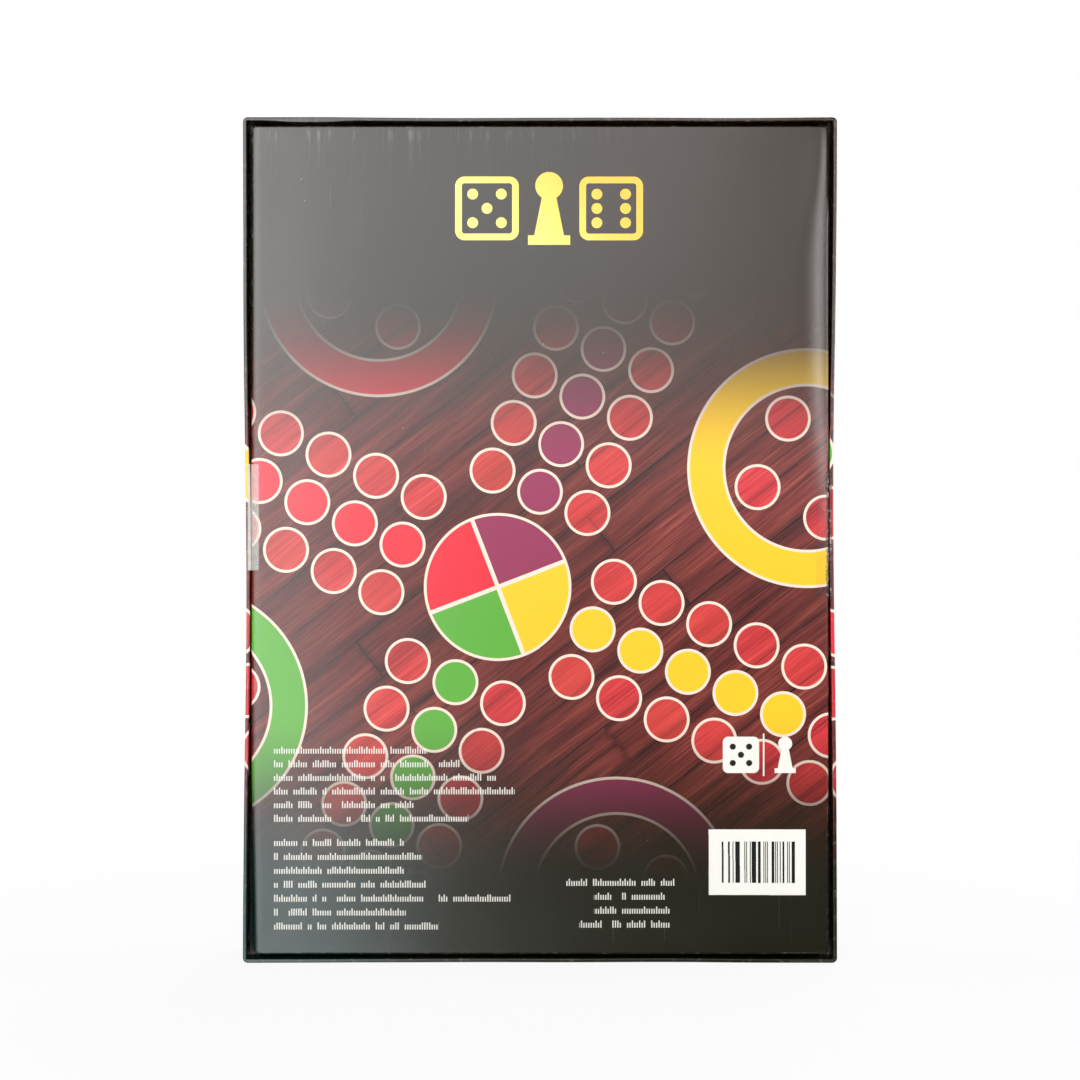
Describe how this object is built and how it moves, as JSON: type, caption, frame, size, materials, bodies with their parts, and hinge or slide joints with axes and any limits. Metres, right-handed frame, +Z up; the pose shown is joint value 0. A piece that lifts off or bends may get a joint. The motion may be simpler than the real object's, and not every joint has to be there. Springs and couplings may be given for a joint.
{
  "type": "board game box",
  "caption": "Lidded card box for a board game: the tray's insert carries a folding board and a rules sheet, with a bay beside them for playing pegs and dice.",
  "frame": {"origin": "on the floor under the middle of the closed box, standing on its short side", "axes": "+Z up along the box's length, +Y towards the lid's panel, -Y towards the printed back of the tray"},
  "size_m": [0.1962, 0.0361, 0.279],
  "materials": {
    "lid_card": "gloss laminated print",
    "tray_card": "gloss laminated print",
    "seal_film": "clear film, a little crinkled",
    "insert_card": "matt white-lined card",
    "board_card": "matt black paper over grey board",
    "board_print": "satin printed paper",
    "hinge_cloth": "woven bookbinding tape",
    "sheet_paper": "uncoated white paper",
    "peg_red": "moulded",
    "peg_green": "moulded",
    "peg_yellow": "moulded",
    "peg_purple": "moulded",
    "die_plastic": "moulded, black pips"
  },
  "bodies": {
    "tray": {"tray_shell": "tray_card", "insert_platform": "insert_card", "seal_left_tray_half": "seal_film", "seal_right_tray_half": "seal_film"},
    "lid": {"lid_shell": "lid_card", "seal_left_lid_half": "seal_film", "seal_right_lid_half": "seal_film"},
    "board_base": {"board_core_base": "board_card", "board_print_base": "board_print", "board_hinge_tape": "hinge_cloth"},
    "board_leaf": {"board_core_leaf": "board_card", "board_print_leaf": "board_print"},
    "sheet": {"instruction_sheet": "sheet_paper"},
    "peg_red_1": {"peg_red_1": "peg_red"},
    "peg_red_2": {"peg_red_2": "peg_red"},
    "peg_red_3": {"peg_red_3": "peg_red"},
    "peg_red_4": {"peg_red_4": "peg_red"},
    "peg_green_1": {"peg_green_1": "peg_green"},
    "peg_green_2": {"peg_green_2": "peg_green"},
    "peg_green_3": {"peg_green_3": "peg_green"},
    "peg_green_4": {"peg_green_4": "peg_green"},
    "peg_yellow_1": {"peg_yellow_1": "peg_yellow"},
    "peg_yellow_2": {"peg_yellow_2": "peg_yellow"},
    "peg_yellow_3": {"peg_yellow_3": "peg_yellow"},
    "peg_yellow_4": {"peg_yellow_4": "peg_yellow"},
    "peg_purple_1": {"peg_purple_1": "peg_purple"},
    "peg_purple_2": {"peg_purple_2": "peg_purple"},
    "peg_purple_3": {"peg_purple_3": "peg_purple"},
    "peg_purple_4": {"peg_purple_4": "peg_purple"},
    "die_left": {"die_left": "die_plastic"},
    "die_right": {"die_right": "die_plastic"}
  },
  "joints": [
    {"name": "lid_lift", "type": "slide", "parent": "tray", "child": "lid", "axis": [0, 1, 0], "range_m": [0, 0.56]},
    {"name": "sheet_lift", "type": "slide", "parent": "tray", "child": "sheet", "axis": [0, 1, 0], "range_m": [0, 0.5096]},
    {"name": "board_lift", "type": "slide", "parent": "tray", "child": "board_base", "axis": [0, 1, 0], "range_m": [0, 0.07]},
    {"name": "board_fold", "type": "hinge", "parent": "board_base", "child": "board_leaf", "pos_m": [-0.0911, 0.01395, 0.1382], "axis": [0, 0, 1], "range_deg": [0, 180], "deforming": ["board_hinge_tape"]},
    {"name": "peg_red_1_lift", "type": "slide", "parent": "tray", "child": "peg_red_1", "axis": [0, 1, 0], "range_m": [0, 0.0616]},
    {"name": "peg_red_2_lift", "type": "slide", "parent": "tray", "child": "peg_red_2", "axis": [0, 1, 0], "range_m": [0, 0.0616]},
    {"name": "peg_red_3_lift", "type": "slide", "parent": "tray", "child": "peg_red_3", "axis": [0, 1, 0], "range_m": [0, 0.0616]},
    {"name": "peg_red_4_lift", "type": "slide", "parent": "tray", "child": "peg_red_4", "axis": [0, 1, 0], "range_m": [0, 0.0616]},
    {"name": "peg_green_1_lift", "type": "slide", "parent": "tray", "child": "peg_green_1", "axis": [0, 1, 0], "range_m": [0, 0.0616]},
    {"name": "peg_green_2_lift", "type": "slide", "parent": "tray", "child": "peg_green_2", "axis": [0, 1, 0], "range_m": [0, 0.0616]},
    {"name": "peg_green_3_lift", "type": "slide", "parent": "tray", "child": "peg_green_3", "axis": [0, 1, 0], "range_m": [0, 0.0616]},
    {"name": "peg_green_4_lift", "type": "slide", "parent": "tray", "child": "peg_green_4", "axis": [0, 1, 0], "range_m": [0, 0.0616]},
    {"name": "peg_yellow_1_lift", "type": "slide", "parent": "tray", "child": "peg_yellow_1", "axis": [0, 1, 0], "range_m": [0, 0.0616]},
    {"name": "peg_yellow_2_lift", "type": "slide", "parent": "tray", "child": "peg_yellow_2", "axis": [0, 1, 0], "range_m": [0, 0.0616]},
    {"name": "peg_yellow_3_lift", "type": "slide", "parent": "tray", "child": "peg_yellow_3", "axis": [0, 1, 0], "range_m": [0, 0.0616]},
    {"name": "peg_yellow_4_lift", "type": "slide", "parent": "tray", "child": "peg_yellow_4", "axis": [0, 1, 0], "range_m": [0, 0.0616]},
    {"name": "peg_purple_1_lift", "type": "slide", "parent": "tray", "child": "peg_purple_1", "axis": [0, 1, 0], "range_m": [0, 0.0616]},
    {"name": "peg_purple_2_lift", "type": "slide", "parent": "tray", "child": "peg_purple_2", "axis": [0, 1, 0], "range_m": [0, 0.0616]},
    {"name": "peg_purple_3_lift", "type": "slide", "parent": "tray", "child": "peg_purple_3", "axis": [0, 1, 0], "range_m": [0, 0.0616]},
    {"name": "peg_purple_4_lift", "type": "slide", "parent": "tray", "child": "peg_purple_4", "axis": [0, 1, 0], "range_m": [0, 0.0616]},
    {"name": "die_left_lift", "type": "slide", "parent": "tray", "child": "die_left", "axis": [0, 1, 0], "range_m": [0, 0.084]},
    {"name": "die_right_lift", "type": "slide", "parent": "tray", "child": "die_right", "axis": [0, 1, 0], "range_m": [0, 0.084]}
  ],
  "couplings": [
    {"joint": "sheet_lift", "follows": "lid_lift", "ratio": 0.91},
    {"joint": "board_lift", "follows": "lid_lift", "ratio": 0.125},
    {"joint": "board_fold", "follows": "lid_lift", "rad_per_m": 5.6099},
    {"joint": "peg_red_1_lift", "follows": "lid_lift", "ratio": 0.11},
    {"joint": "peg_red_2_lift", "follows": "lid_lift", "ratio": 0.11},
    {"joint": "peg_red_3_lift", "follows": "lid_lift", "ratio": 0.11},
    {"joint": "peg_red_4_lift", "follows": "lid_lift", "ratio": 0.11},
    {"joint": "peg_green_1_lift", "follows": "lid_lift", "ratio": 0.11},
    {"joint": "peg_green_2_lift", "follows": "lid_lift", "ratio": 0.11},
    {"joint": "peg_green_3_lift", "follows": "lid_lift", "ratio": 0.11},
    {"joint": "peg_green_4_lift", "follows": "lid_lift", "ratio": 0.11},
    {"joint": "peg_yellow_1_lift", "follows": "lid_lift", "ratio": 0.11},
    {"joint": "peg_yellow_2_lift", "follows": "lid_lift", "ratio": 0.11},
    {"joint": "peg_yellow_3_lift", "follows": "lid_lift", "ratio": 0.11},
    {"joint": "peg_yellow_4_lift", "follows": "lid_lift", "ratio": 0.11},
    {"joint": "peg_purple_1_lift", "follows": "lid_lift", "ratio": 0.11},
    {"joint": "peg_purple_2_lift", "follows": "lid_lift", "ratio": 0.11},
    {"joint": "peg_purple_3_lift", "follows": "lid_lift", "ratio": 0.11},
    {"joint": "peg_purple_4_lift", "follows": "lid_lift", "ratio": 0.11},
    {"joint": "die_left_lift", "follows": "lid_lift", "ratio": 0.15},
    {"joint": "die_right_lift", "follows": "lid_lift", "ratio": 0.15}
  ]
}
